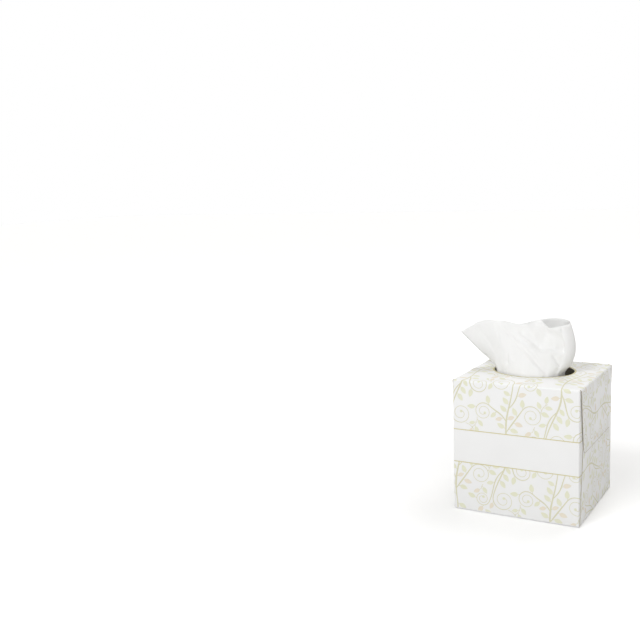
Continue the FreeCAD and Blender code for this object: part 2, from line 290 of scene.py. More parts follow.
def vine(curl, vines):
    """Points of one stem from its root to the heart of its curl, and how many lead up to the curl."""
    (cx, cy), radius, hand, parent, root, heading, _ = curl
    heading = math.radians(heading)
    if parent is not None:
        stem, stem_lead = vines[parent]
        heading += heading_at(stem, int(root * stem_lead))
        root = stem[int(root * stem_lead)]
    root = Vector(root)
    aside = root - Vector((cx, cy))
    angle = math.atan2(aside.y, aside.x) + hand * math.acos(radius / aside.length)
    entry = Vector((cx + radius * math.cos(angle), cy + radius * math.sin(angle)))
    run = (entry - root).length
    reach = run * LEAD_REACH
    ends = (root, root + Vector((math.cos(heading), math.sin(heading))) * reach,
            entry + Vector((math.sin(angle), -math.cos(angle))) * hand * reach, entry)
    lead = max(8, int(run / LEAD_STEP))
    points = []
    for i in range(lead):
        t = i / lead
        weights = ((1 - t) ** 3, 3 * t * (1 - t) ** 2, 3 * t * t * (1 - t), t ** 3)
        points.append(sum((q * w for w, q in zip(weights, ends)), Vector((0, 0))))
    steps = int(CURL_TURNS * POINTS_A_TURN)
    for i in range(steps + 1):
        t = i / steps
        r = radius * (1 - t) ** CURL_DRAW_IN + CURL_CORE * t
        a = angle + hand * t * CURL_TURNS * 2 * math.pi
        points.append(Vector((cx + r * math.cos(a), cy + r * math.sin(a))))
    return points, lead


LEAF_WIDTH = 0.30             # of the fuller side, as a share of the leaf's length
LEAF_LEAN_SIDE = 0.86         # the other side's share of that
LEAF_STEPS = 8


def leaf_edge(length):
    """A pointed leaf from its stalk, a little fuller on one side."""
    side = []
    for i in range(LEAF_STEPS + 1):
        along = i / LEAF_STEPS
        side.append((along * length, LEAF_WIDTH * length * math.sin(math.pi * along ** 0.8) ** 0.75))
    return side + [(x, -LEAF_LEAN_SIDE * y) for x, y in reversed(side[1:-1])]


def turned(points, root, angle):
    """Points turned by an angle and moved to a root."""
    c, s = math.cos(angle), math.sin(angle)
    return [Vector((root[0] + x * c - y * s, root[1] + x * s + y * c)) for x, y in points]


def close_by(inked, point, room):
    """Whether a point of the tile lies near ink, counting the tiles round it."""
    for q in inked:
        dy = q[1] - point[1]
        row = round(dy / TILE_HEIGHT)
        dy -= row * TILE_HEIGHT
        dx = q[0] - point[0] - row * TILE_SHIFT
        dx -= round(dx / TILE_WIDTH) * TILE_WIDTH
        if dx * dx + dy * dy < room * room:
            return True
    return False


SPRIG_ROOM = 3.2
SPRIG_START = 0.9             # how much a sprig bends away at its root, in radians
SPRIG_BEND = 0.10             # and back at every millimetre


def sprigs_on(inked):
    """Thin stalks that arc out of the curls, each as long as it stays clear of other ink."""
    sprigs = []
    for curl, degrees, length, bend in SPRIGS:
        centre, radius = CURLS[curl][:2]
        angle = math.radians(degrees)
        points = [Vector(centre) + Vector((math.cos(angle), math.sin(angle))) * radius]
        heading = angle + bend * SPRIG_START
        while len(points) <= length:
            ahead = points[-1] + Vector((math.cos(heading), math.sin(heading)))
            if len(points) > 2 and close_by(inked, ahead, SPRIG_ROOM):
                break
            points.append(ahead)
            heading -= bend * SPRIG_BEND
        if len(points) > 5:
            sprigs.append(points)
    return sprigs


STALK = 1.6
LEAN_SPREAD = 6               # how much one leaf's lean differs from the next, in degrees


def leaves_on(stem, start, end, step, inked, chance, lengths, leans, room):
    """Leaves on alternate sides of a stem, each where nothing else is drawn yet."""
    leaves = []
    side = 1
    i = start
    while i < end:
        grown = None
        for hand, length, lean in [(h, n, a) for h in (side, -side) for n in lengths for a in leans]:
            lean += chance.uniform(-LEAN_SPREAD, LEAN_SPREAD)
            angle = heading_at(stem, i) + hand * math.radians(lean)
            stalk = stem[i] + Vector((math.cos(angle), math.sin(angle))) * STALK
            edge = turned(leaf_edge(length), stalk, angle)
            spine = turned([(length * s, 0) for s in (0.3, 0.5, 0.7)], stalk, angle)
            if not any(close_by(inked, q, room) for q in edge[2:-1] + spine):
                grown = (stem[i], stalk, edge)
                inked += edge
                side = -hand
                break
        if grown:
            leaves.append(grown)
        i += step if grown else 1
    return leaves


def ribbon(bm, points, widths, material, height=0.0):
    """A flat band along points: a strip of grid squares laid along them."""
    last = len(points) - 1
    strip = bmesh.ops.create_grid(bm, x_segments=1, y_segments=last, size=1)["verts"]
    for vert in strip:
        i = round((vert.co.y + 1) / 2 * last)
        before, after = points[max(0, i - 1)], points[min(last, i + 1)]
        ahead = (after - before).normalized()
        side = Vector((-ahead.y, ahead.x)) * widths[i] / 2 * (-1 if vert.co.x > 0 else 1)
        vert.co = (*(points[i] + side), height)
    for face in {f for vert in strip for f in vert.link_faces}:
        face.material_index = material


def patch(bm, edge, material):
    """A flat leaf or berry: a disc with its rim drawn to an outline."""
    rim = bmesh.ops.create_circle(bm, cap_ends=True, segments=len(edge), radius=1)["verts"]
    for vert, point in zip(rim, edge):
        vert.co = (*point, 0)
    for face in {f for vert in rim for f in vert.link_faces}:
        face.material_index = material


# the raw board ink last in this list is painted shadow: the dark line under the upper flaps' free edges at
# the seam
INKS = [LEAF_INK, LEAF_INK_WARM, STEM_INK, LINE_INK, BOARD_RAW]
LEAF, WARM_LEAF, STEM, BORDER, SEAM_SHADOW = range(len(INKS))

# what crosses lies a hair higher, so that no two inks share a plane
STEM_HEIGHT = 0.02
STEM_HEIGHT_STEP = 0.002
SPRIG_HEIGHT = 0.022
STALK_HEIGHT = 0.024
LINE_HEIGHT = 0.03


def stem_width(curl, i, lead):
    """A stem's width at one of its points: thin at the root, soon full, then drawn out to a line."""
    t = min(1, i / (lead + 14))
    return LINE_WIDTH + curl[6] * min(1, 0.25 + 3.2 * t) * (1 - t)


def tile():
    """One tile of the print, flat."""
    bm = bmesh.new()
    chance = random.Random(7)
    vines = []
    for curl in CURLS:
        vines.append(vine(curl, vines))
    for layer, ((points, lead), curl) in enumerate(zip(vines, CURLS)):
        widths = [stem_width(curl, i, lead) for i in range(len(points))]
        ribbon(bm, points, widths, STEM, STEM_HEIGHT - STEM_HEIGHT_STEP * layer)
        turn = [2 * math.pi * k / 12 for k in range(12)]
        patch(bm, [points[-1] + Vector((math.cos(a), math.sin(a))) * BERRY for a in turn], LEAF)
    inked = [p for points, _ in vines for p in points]
    sprigs = sprigs_on(inked)
    for points in sprigs:
        ribbon(bm, points, [LINE_WIDTH * 0.9] * len(points), STEM, SPRIG_HEIGHT)
        inked += points[2:]
    leaves = []
    for points in sprigs:
        leaves += leaves_on(points, 2, len(points), 3, inked, chance,
                            lengths=(6.6, 5.6, 4.8), leans=(48, 62, 36), room=0.85)
    for points, lead in vines:
        end = min(lead + 16, len(points) - 1)
        leaves += leaves_on(points, 3, end, 7, inked, chance,
                            lengths=(7.4, 6.4), leans=(44, 58, 74), room=1.7)
    for count, (root, stalk, edge) in enumerate(leaves):
        ribbon(bm, [root, (root + stalk) / 2, stalk + (stalk - root) * 0.3],
               [LINE_WIDTH, LINE_WIDTH * 0.9, LINE_WIDTH * 0.7], STEM, STALK_HEIGHT)
        patch(bm, edge, WARM_LEAF if count % 4 == 1 else LEAF)
    return bm


def as_mesh(bm, name):
    mesh = bpy.data.meshes.new(name)
    bm.to_mesh(mesh)
    bm.free()
    return mesh


BLANK_REACH = 170             # tiles further out than this miss the blank
TILE_REACH = 55               # half of a tile's diagonal


def printed_sheet(low, high):
    """The tile repeated over the whole width of the blank between two heights."""
    square = as_mesh(tile(), "print_tile")
    sheet = bmesh.new()
    lean = Matrix.Rotation(TILE_LEAN, 4, "Z")
    for row in range(-4, 12):
        for column in range(-8, 9):
            corner = Vector((column * TILE_WIDTH + row * TILE_SHIFT, row * TILE_HEIGHT, 0))
            middle = lean @ (corner + Vector((TILE_WIDTH / 2, TILE_HEIGHT / 2, 0)))
            if abs(middle.x) > BLANK_REACH or not low - TILE_REACH < middle.y < high + TILE_REACH:
                continue
            before = len(sheet.verts)
            sheet.from_mesh(square)
            sheet.verts.ensure_lookup_table()
            bmesh.ops.transform(sheet, matrix=lean @ Matrix.Translation(corner), verts=sheet.verts[before:])
    bpy.data.meshes.remove(square)
    return as_mesh(sheet, "print_sheet")


ROUND = FOLD / MM
BEND = ROUND * math.pi / 2    # length of board in a fold


def walk(distance, start, heading, turn, legs):
    """A point and its outward side, some distance along a folded section. turn is 1 where the folds
    turn left, and -1 where they turn right."""
    here, ahead = Vector(start), Vector(heading)
    out = Vector((ahead.y, -ahead.x)) * turn
    for leg in legs:
        if distance <= leg:
            return here + ahead * distance, out
        here += ahead * leg
        distance -= leg
        centre = here - out * ROUND
        angle = min(distance / ROUND, math.pi / 2) * turn
        c, s = math.cos(angle), math.sin(angle)
        round_out = Vector((out.x * c - out.y * s, out.x * s + out.y * c))
        if distance <= BEND:
            return centre + round_out * ROUND, round_out
        distance -= BEND
        here, out = centre + round_out * ROUND, round_out
        ahead = Vector((-out.y, out.x)) * turn
    return here + ahead * distance, out


# the blank in millimetres: v runs up the front, over the top and down the back, and u runs across it and
# out along the flaps
HALF = BOX / MM / 2
TALL = BOX_HEIGHT / MM
PLY = BOARD / MM
STRAIGHT_UP = TALL - 2 * ROUND
STRAIGHT_OVER = 2 * (HALF - ROUND)
TOP_START = STRAIGHT_UP + BEND
BACK_START = TOP_START + STRAIGHT_OVER + BEND
BOTTOM_START = BACK_START + STRAIGHT_UP + BEND
BLANK_MARGIN = 5              # how far the print runs past the blank
TUBE_END = HALF - 2 * PLY - ROUND       # where the front and back turn into their dust flaps
LOWER_END = HALF - PLY - ROUND          # where the bottom turns up into the lower outer flaps
UPPER_END = HALF - ROUND                # where the top turns down into the upper outer flaps
DUST_FLAP = 40
DUST_STRIP = 13                         # how much of a dust flap is printed
FLAP_ROOT = HALF - 2.0                  # half the width of an outer flap at its fold
FLAP_TAPER = 8.5                        # how much it draws in on each side by its free edge
FLAP_CORNER = 4.0
FLAP_OVERLAP = 14.0
UPPER_LONG = TALL - ROUND - SEAM / MM
LOWER_LONG = SEAM / MM + FLAP_OVERLAP - ROUND
EDGE_ROOM = 0.1                         # ink stops this far short of a cut edge
STRIP_ROOM = 0.15                       # and this far short of the outer flap over it
WALL_REACH = TUBE_END + BEND + DUST_STRIP
WALL_FOLDS = [(TUBE_END, True), (-TUBE_END - BEND, True)]
FLAP_START = UPPER_END + BEND
TOP_MIDDLE = TOP_START + UPPER_END
BOTTOM_MIDDLE = BOTTOM_START + UPPER_END
FOLD_SCORES = 4                         # strips that the print is scored into at a fold
LIFT = INK_LIFT / MM

BORDER_WIDTH = 0.75
MOUTH_ROOM = 0.6                        # between the mouth's edge and the print
PRINT_MOUTH_LENGTH = MOUTH_LENGTH / MM + MOUTH_ROOM
PRINT_MOUTH_WIDTH = MOUTH_WIDTH / MM + MOUTH_ROOM
MOUTH_LINE = 1.5
MOUTH_LINE_OUT = 0.3                    # from the edge of the print to the middle of the line
MOUTH_STEPS = 160
SEAM_SHADOW_WIDTH = 0.5                          # width of the painted shadow line along the upper outer flaps' free edges
SEAM_SHADOW_AT = FLAP_START + UPPER_LONG - SEAM_SHADOW_WIDTH / 2 - 0.02
SEAM_SHADOW_END = FLAP_ROOT - FLAP_TAPER - 2.0     # half its length


def on_wall(u, face, up, lift):
    """The front or back panel with the strips of its dust flaps. face is -1 in front and 1 behind."""
    (x, y), (nx, ny) = walk(abs(u), (0, HALF * face), (1, 0), -face, (TUBE_END, DUST_FLAP))
    side = 1 if u > 0 else -1
    return Vector(((x + nx * lift) * side, y + ny * lift, up))


def on_front(u, v, lift):
    return on_wall(u, -1, ROUND + v, lift)


def on_back(u, v, lift):
    return on_wall(u, 1, TALL - ROUND - (v - BACK_START), lift)


def on_tube_fold(u, v, lift):
    (y, z), (ny, nz) = walk(v, (-HALF, ROUND), (0, 1), -1, (STRAIGHT_UP, STRAIGHT_OVER, STRAIGHT_UP))
    return Vector((u, y + ny * lift, z + nz * lift))


def on_top(u, v, lift):
    (x, z), (nx, nz) = walk(abs(u), (0, TALL), (1, 0), -1, (UPPER_END, UPPER_LONG + BLANK_MARGIN))
    side = 1 if u > 0 else -1
    return Vector(((x + nx * lift) * side, v - TOP_START - UPPER_END, z + nz * lift))


def on_lower_flap(u, v, lift):
    (x, z), (nx, nz) = walk(abs(u), (0, 0), (1, 0), 1, (LOWER_END, LOWER_LONG + BLANK_MARGIN))
    side = 1 if u > 0 else -1
    return Vector(((x + nx * lift) * side, UPPER_END - (v - BOTTOM_START), z + nz * lift))


def wrapped(sheet, target, wrap, low, high, left, right, slopes=(), bends=()):
    """Cuts a panel's share out of the flat print, scores it where it bends and folds it into place.
    slopes are lines through a point, each with its outward direction, past which nothing is kept."""
    bm = bmesh.new()
    bm.from_mesh(sheet)
    edges = [((0, low), (0, -1)), ((0, high), (0, 1)), ((left, 0), (-1, 0)), ((right, 0), (1, 0))]
    for point, away in [*edges, *slopes]:
        bmesh.ops.bisect_plane(bm, geom=bm.verts[:] + bm.edges[:] + bm.faces[:], plane_co=(*point, 0),
                               plane_no=(*away, 0), clear_outer=True)
    for start, across in bends:
        for k in range(FOLD_SCORES + 1):
            at = start + BEND * k / FOLD_SCORES
            co, no = ((at, 0, 0), (1, 0, 0)) if across else ((0, at, 0), (0, 1, 0))
            bmesh.ops.bisect_plane(bm, geom=bm.verts[:] + bm.edges[:] + bm.faces[:], plane_co=co,
                                   plane_no=no)
    for vert in bm.verts:
        vert.co = wrap(vert.co.x, vert.co.y, LIFT + vert.co.z)
    piece = as_mesh(bm, "panel_print")
    target.from_mesh(piece)
    bpy.data.meshes.remove(piece)


def wall_parts():
    """The printed parts of the front and the back: how each folds, its end at the fold, its end at the
    bare band, and the length of the outer flap beside it."""
    band_low, band_high = BAND_LOW / MM - ROUND, BAND_HIGH / MM - ROUND
    back_end = BACK_START + STRAIGHT_UP
    return [
        (on_front, 0, band_low, LOWER_LONG),
        (on_front, STRAIGHT_UP, band_high, UPPER_LONG),
        (on_back, BACK_START, back_end - band_high, UPPER_LONG),
        (on_back, back_end, back_end - band_low, LOWER_LONG),
    ]


def strip_slopes(root, band_edge, long):
    """The lines past which an outer flap hides the strips of a dust flap, left and right."""
    toward = 1 if band_edge > root else -1
    edge = TUBE_END + BEND + (UPPER_END - FLAP_ROOT) - STRIP_ROOM
    return [((side * edge, root), (side, -toward * FLAP_TAPER / long)) for side in (1, -1)]


def print_walls(sheet, bm):
    """The front and the back above and below the bare band, each with a strip of its dust flaps."""
    for wrap, root, band_edge, long in wall_parts():
        low, high = sorted((root, band_edge))
        wrapped(sheet, bm, wrap, low, high, -WALL_REACH, WALL_REACH, strip_slopes(root, band_edge, long),
                WALL_FOLDS)


def print_top_folds(sheet, bm):
    """The folds from the front and the back into the top."""
    for start in (STRAIGHT_UP, BACK_START - BEND):
        wrapped(sheet, bm, on_tube_fold, start, start + BEND, -TUBE_END, TUBE_END, bends=[(start, False)])


def print_top(sheet, bm):
    """The top with its two upper outer flaps."""
    slopes = []
    for across in (1, -1):
        for along in (1, -1):
            side = TOP_MIDDLE + along * (FLAP_ROOT - EDGE_ROOM)
            corner = TOP_MIDDLE + along * (FLAP_ROOT - FLAP_TAPER - EDGE_ROOM)
            corner_start = FLAP_START + UPPER_LONG - FLAP_CORNER
            slopes.append(((across * FLAP_START, side), (across * FLAP_TAPER / UPPER_LONG, along)))
            slopes.append(((across * corner_start, corner), (across, along)))
    out = FLAP_START + UPPER_LONG
    wrapped(sheet, bm, on_top, TOP_START, TOP_START + STRAIGHT_OVER, -out, out, slopes,
            [(UPPER_END, True), (-FLAP_START, True)])


def print_lower_flaps(sheet, bm):
    """The lower outer flaps, from the fold at the bottom up to the seam."""
    root = LOWER_END + BEND
    out = root + SEAM / MM - ROUND - EDGE_ROOM
    for side in (1, -1):
        left, right = sorted((side * LOWER_END, side * out))
        slopes = [((side * root, BOTTOM_MIDDLE + along * (FLAP_ROOT - EDGE_ROOM)),
                   (side * FLAP_TAPER / LOWER_LONG, along)) for along in (1, -1)]
        wrapped(sheet, bm, on_lower_flap, BOTTOM_START, BOTTOM_START + STRAIGHT_OVER, left, right, slopes,
                [(LOWER_END if side > 0 else -root, True)])


def mouth_share(vert):
    """How far out a point of the top lies, as a share of the way to the print's edge at the mouth."""
    return math.hypot(vert.co.x / PRINT_MOUTH_LENGTH, vert.co.y / PRINT_MOUTH_WIDTH)


def cut_mouth(bm):
    """Cuts the mouth through the print, and draws the cut to the oval."""
    inside = {v for v in bm.verts if v.co.z > TALL and mouth_share(v) < 1}
    bmesh.ops.delete(bm, geom=[f for f in bm.faces if all(v in inside for v in f.verts)], context="FACES")
    for vert in bm.verts:
        share = mouth_share(vert)
        if vert.co.z > TALL and 0 < share < 1:
            vert.co.x /= share
            vert.co.y /= share
    bmesh.ops.dissolve_degenerate(bm, edges=bm.edges[:], dist=0.002)


def print_band_lines(bm):
    """The thin lines along the bare band."""
    lines = bmesh.new()
    for _, _, band_edge, _ in wall_parts():
        ribbon(lines, [Vector((u, band_edge)) for u in (-WALL_REACH, 0, WALL_REACH)], [BORDER_WIDTH] * 3,
               BORDER, LINE_HEIGHT)
    lines = as_mesh(lines, "band_lines")
    for wrap, root, band_edge, long in wall_parts():
        wrapped(lines, bm, wrap, band_edge - 1, band_edge + 1, -WALL_REACH, WALL_REACH,
                strip_slopes(root, band_edge, long), WALL_FOLDS)
    bpy.data.meshes.remove(lines)


def print_seam_shadow(bm):
    """A painted shadow line along the free edges of the upper outer flaps, where they step over the lower
    flaps, drawn in raw board colour.
    """
    shadow_strip = bmesh.new()
    low, high = TOP_MIDDLE - SEAM_SHADOW_END, TOP_MIDDLE + SEAM_SHADOW_END
    for side in (1, -1):
        ends = [Vector((side * SEAM_SHADOW_AT, v)) for v in (low, high)]
        ribbon(shadow_strip, ends, [SEAM_SHADOW_WIDTH] * 2, SEAM_SHADOW, LINE_HEIGHT)
    shadow_strip = as_mesh(shadow_strip, "seam_shadow_strip")
    wrapped(shadow_strip, bm, on_top, low, high, -SEAM_SHADOW_AT - 1, SEAM_SHADOW_AT + 1)
    bpy.data.meshes.remove(shadow_strip)


def print_mouth_line(bm):
    """The line round the mouth."""
    ring = bmesh.new()
    long, wide = PRINT_MOUTH_LENGTH + MOUTH_LINE_OUT, PRINT_MOUTH_WIDTH + MOUTH_LINE_OUT
    turn = [2 * math.pi * k / MOUTH_STEPS for k in range(MOUTH_STEPS + 1)]
    ribbon(ring, [Vector((math.cos(a) * long, math.sin(a) * wide)) for a in turn],
           [MOUTH_LINE] * len(turn), BORDER)
    for vert in ring.verts:
        vert.co.z = TALL + LIFT + LINE_HEIGHT
    ring = as_mesh(ring, "mouth_line")
    bm.from_mesh(ring)
    bpy.data.meshes.remove(ring)


def vine_print():
    """The whole print as one piece, folded round the box."""
    sheet = printed_sheet(-BLANK_MARGIN, BOTTOM_START + STRAIGHT_OVER + BLANK_MARGIN)
    bm = bmesh.new()
    print_walls(sheet, bm)
    print_top_folds(sheet, bm)
    print_top(sheet, bm)
    print_lower_flaps(sheet, bm)
    bpy.data.meshes.remove(sheet)
    cut_mouth(bm)
    print_band_lines(bm)
    # painted shadow along the seam under the upper outer flaps
    print_seam_shadow(bm)
    print_mouth_line(bm)
    bmesh.ops.scale(bm, vec=(MM, MM, MM), verts=bm.verts[:])
    bowed(bm)
    box_middle = Vector((0, 0, BOX_HEIGHT / 2))
    for face in bm.faces:
        if face.normal.dot(face.calc_center_median() - box_middle) < 0:
            face.normal_flip()
    bmesh.ops.triangulate(bm, faces=[f for f in bm.faces if len(f.verts) > 4])
    finished("vine_print", bm, INKS, smooth=False)


vine_print()

# Standing sheet

# rows of the net that the sheet is drawn from, as shares of the mouth's half length and half width, and of
# the rise above the top: left end of the front layer, round the right, back to the left in the back layer
TOP_EDGE = [
    (-2.00, 0.09, 0.66), (-1.72, 0.03, 0.77), (-1.33, -0.06, 0.95), (-1.04, -0.13, 0.92),
    (-0.67, -0.16, 0.95), (-0.39, -0.19, 0.88), (-0.06, -0.19, 0.92), (0.27, -0.19, 1.03),
    (0.44, -0.40, 0.83), (0.70, -0.40, 0.91), (1.01, -0.19, 0.93), (0.82, 0.22, 0.99),
    (0.37, 0.28, 0.99), (-0.17, 0.28, 0.90), (-0.72, 0.25, 0.80), (-1.22, 0.22, 0.66),
]
SHOULDER = [
    (-1.76, 0.11, 0.50), (-1.44, -0.03, 0.54), (-1.14, -0.20, 0.58), (-0.86, -0.34, 0.60),
    (-0.56, -0.42, 0.60), (-0.25, -0.45, 0.58), (0.06, -0.46, 0.58), (0.33, -0.40, 0.60),
    (0.58, -0.34, 0.58), (0.88, -0.38, 0.56), (1.23, -0.18, 0.56), (1.00, 0.25, 0.56),
    (0.47, 0.38, 0.58), (-0.11, 0.41, 0.56), (-0.67, 0.38, 0.52), (-1.17, 0.28, 0.44),
]
WAIST = [
    (-1.27, 0.11, 0.16), (-1.06, -0.20, 0.16), (-0.86, -0.45, 0.18), (-0.67, -0.60, 0.19),
    (-0.47, -0.72, 0.20), (-0.22, -0.78, 0.20), (0.03, -0.80, 0.20), (0.28, -0.76, 0.20),
    (0.52, -0.66, 0.20), (0.82, -0.52, 0.20), (1.11, -0.17, 0.20), (0.88, 0.26, 0.20),
    (0.39, 0.44, 0.20), (-0.08, 0.48, 0.20), (-0.53, 0.43, 0.18), (-0.92, 0.28, 0.14),
]
GATHER = [
    (-0.97, 0.09), (-0.93, -0.39), (-0.75, -0.66), (-0.57, -0.76),
    (-0.38, -0.92), (-0.14, -0.99), (0.11, -1.00), (0.34, -0.95),
    (0.53, -0.85), (0.72, -0.64), (0.84, -0.20), (0.74, 0.20),
    (0.37, 0.40), (-0.11, 0.46), (-0.57, 0.40), (-0.88, 0.26),
]
RISE = 50 * MM
RIM_GAP = 0.3 * MM            # between the sheet and the mouth's edge
HEM_REACH = 2 * MM            # how far the sheet spreads again below the mouth
HEM_HEIGHT = 111.95 * MM
NECK_LIFT = 0.07              # the gather's height above the top, as a share of the rise
SHEET_THICKNESS = 0.34 * MM
COLUMNS = 220
ROWS = 76


def sheet_net():
    """The rows of the net, from the hem under the top panel to the sheet's upper edge."""
    long, wide = MOUTH_LENGTH - RIM_GAP, MOUTH_WIDTH - RIM_GAP
    spread_x, spread_y = 1 + HEM_REACH / MOUTH_LENGTH, 1 + HEM_REACH / MOUTH_WIDTH
    hem = [Vector((x * long * spread_x, y * wide * spread_y, HEM_HEIGHT)) for x, y in GATHER]
    gather = [Vector((x * long, y * wide, BOX_HEIGHT - BOARD)) for x, y in GATHER]
    neck = [Vector((x * long, y * wide, BOX_HEIGHT + NECK_LIFT * RISE)) for x, y in GATHER]
    fan = [[Vector((x * MOUTH_LENGTH, y * MOUTH_WIDTH, BOX_HEIGHT + z * RISE)) for x, y, z in row]
           for row in (WAIST, SHOULDER, TOP_EDGE)]
    return [hem, gather, neck] + fan


def spline_weights(count, t, degree=3):
    """How much each control point counts at a place along an even spline that meets its ends."""
    spans = count - degree
    knots = [0.0] * degree + [i / spans for i in range(spans + 1)] + [1.0] * degree
    span = min(int(t * spans), spans - 1) + degree
    weights = [0.0] * count
    basis = [1.0]
    for d in range(1, degree + 1):
        grown = [0.0] * (d + 1)
        for r in range(d):
            left, right = knots[span - d + 1 + r], knots[span + 1 + r]
            share = (t - left) / (right - left)
            grown[r] += basis[r] * (1 - share)
            grown[r + 1] += basis[r] * share
        basis = grown
    for r, value in enumerate(basis):
        weights[span - degree + r] = value
    return weights


LAYERS_PART = 0.62            # where along its edge the sheet turns from the front layer to the back

# soft creases: from, to (across and up), how far the paper stands out there and half the crease's width,
# both as shares of the rise
FRONT_CREASES = [
    ((-0.67, 0.80), (0.39, 0.16), -0.036, 0.080), ((0.06, 0.92), (0.72, 0.50), 0.044, 0.100),
    ((0.72, 0.54), (1.06, 0.46), -0.030, 0.080), ((0.67, 0.44), (0.92, 0.16), -0.026, 0.080),
    ((0.33, 0.80), (0.94, 0.64), -0.044, 0.130), ((-1.00, 0.80), (-0.33, 0.24), 0.022, 0.100),
]
BACK_CREASES = [
    ((0.28, 0.90), (-0.56, 0.20), 0.024, 0.100), ((-0.28, 0.84), (-0.94, 0.24), -0.024, 0.100),
    ((0.69, 0.80), (0.42, 0.16), -0.026, 0.100),
]

# sharper creases: from, to, how far the paper stands out and half the crease's width on its left and on
# its right, all in millimetres
FRONT_LINES = [
    ((-28, 160), (13, 127), 1.5, 1.6, 2.4), ((-22, 161), (18, 130), -2.4, 3.0, 4.0),
    ((-12, 158), (9, 146), -4.4, 10.0, 1.4), ((9, 146), (37, 143), -4.0, 10.0, 1.4),
    ((2, 163), (32, 161), 1.8, 5.0, 6.0),
    ((-19, 141), (-17.5, 132), -0.6, 1.0, 1.6), ((-17.5, 132), (-19, 124), -1.0, 1.0, 1.8),
    ((-32, 158), (-29, 150), -0.6, 1.0, 1.6), ((-6, 166), (6, 152), -0.6, 1.6, 1.0),
    ((30, 165), (34, 148), 0.5, 1.5, 1.0), ((22, 139), (32, 126), -1.2, 2.8, 1.0),
    ((-52, 158), (-34, 140), -0.5, 1.8, 1.2), ((26, 128), (29, 121), -0.6, 1.2, 1.0),
    ((8, 140), (20, 128), 0.5, 1.6, 1.2),
]
BACK_LINES = [
    ((24, 164), (2, 130), -1.1, 1.6, 3.0), ((14, 160), (-10, 134), 0.8, 2.4, 1.4),
    ((-14, 158), (-30, 130), -0.9, 1.4, 2.6), ((-6, 150), (6, 128), -0.7, 2.0, 1.2),
    ((28, 150), (18, 128), 0.7, 1.4, 2.0), ((-36, 152), (-22, 128), 0.6, 1.8, 1.2),
]

PLEATS = 9
PLEAT_DEPTH = 0.8 * MM
FINE_PLEATS = 31
FINE_PLEAT_DEPTH = 0.18 * MM
PLEAT_FADE_SHARE = 0.50       # pleats die out this far above and below the top, as a share of the rise


def pleats(u, count, drift, beat):
    """Pleats along the gather, uneven in width, from nought to one deep."""
    return 0.5 - 0.5 * math.cos(2 * math.pi * (count * u + drift * math.sin(beat * u)))


def line_push(here, start, end, depth, left, right):
    """How far one crease moves the paper at a place on its layer. It dies out past its two ends."""
    along = end - start
    share = (here - start).dot(along) / along.length_squared
    aside = here - start - along * share
    wide = left if along.cross(aside) > 0 else right
    fade = max(0.0, min(1.0, (share + 0.25) * 3, (1.25 - share) * 3))
    return depth * math.exp(-(aside.length / wide) ** 1.5) * fade


def creased(point, u):
    """How far the paper stands out of its smooth form, in its creases and in the gather's pleats."""
    creases, lines = (FRONT_CREASES, FRONT_LINES) if u < LAYERS_PART else (BACK_CREASES, BACK_LINES)
    here = Vector((point.x, point.z - BOX_HEIGHT))
    out = 0.0
    for start, end, stands, half_crease in creases:
        foot = Vector((start[0] * MOUTH_LENGTH, start[1] * RISE))
        tip = Vector((end[0] * MOUTH_LENGTH, end[1] * RISE))
        out += line_push(here, foot, tip, stands * RISE, half_crease * RISE, half_crease * RISE)
    here = Vector((point.x, point.z)) / MM
    for start, end, depth, left, right in lines:
        out += line_push(here, Vector(start), Vector(end), depth, left, right) * MM
    height_share = (point.z - BOX_HEIGHT) / RISE
    fade = max(0.0, 1 - abs(height_share) / PLEAT_FADE_SHARE) ** 1.5
    wave = PLEAT_DEPTH * pleats(u, PLEATS, drift=0.35, beat=11)
    fine = FINE_PLEAT_DEPTH * pleats(u, FINE_PLEATS, drift=0.5, beat=17)
    return out - (wave + fine) * fade


def softness(u, v, height):
    """The paper's own slight waves, none at the gather."""
    waves = noise.noise(Vector((u * 9, v * 4, 2.0))) * 0.5
    ripples = noise.noise(Vector((u * 26, v * 10, 5.0))) * 0.28
    return (waves + ripples) * MM * min(1.0, max(0.0, height) * 3)


def on_net(net, across, up):
    """A point of the sheet, from the weights of the net's columns and rows there."""
    point = Vector()
    for row_weight, row in zip(up, net):
        if row_weight:
            for weight, pole in zip(across, row):
                if weight:
                    point += pole * (weight * row_weight)
    return point


def standing_sheet():
    """The sheet drawn up through the mouth, gathered there, fanned out above and creased."""
    bm = bmesh.new()
    net = sheet_net()
    grid = bmesh.ops.create_grid(bm, x_segments=COLUMNS, y_segments=ROWS, size=1, calc_uvs=True)["verts"]
    across = [spline_weights(len(net[0]), i / COLUMNS) for i in range(COLUMNS + 1)]
    up = [spline_weights(len(net), j / ROWS) for j in range(ROWS + 1)]
    shares = {}
    for vert in grid:
        i, j = round((vert.co.x + 1) / 2 * COLUMNS), round((vert.co.y + 1) / 2 * ROWS)
        shares[vert] = (i / COLUMNS, j / ROWS)
        vert.co = on_net(net, across[i], up[j])
    bmesh.ops.recalc_face_normals(bm, faces=bm.faces[:])
    bm.normal_update()
    turn = -1 if min(grid, key=lambda v: v.co.y).normal.y > 0 else 1
    moves = {}
    for vert in grid:
        u, v = shares[vert]
        height = (vert.co.z - BOX_HEIGHT) / RISE
        moves[vert] = vert.normal * turn * (creased(vert.co, u) + softness(u, v, height))
    for vert, move in moves.items():
        vert.co += move
    if turn < 0:
        bmesh.ops.reverse_faces(bm, faces=bm.faces[:])
    piece = finished("standing_sheet", bm, [TISSUE])
    body = piece.modifiers.new("two_plies", "SOLIDIFY")
    body.thickness = SHEET_THICKNESS
    body.offset = 0
    body.use_even_offset = True
    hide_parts("popup_tissue")


standing_sheet()

# Tissue pack

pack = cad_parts["tissue_pack"]
pack.data.materials.clear()
# the pack gets the darker tissue: painted shade
pack.data.materials.append(TISSUE_SHADED)

# Floor, light and camera

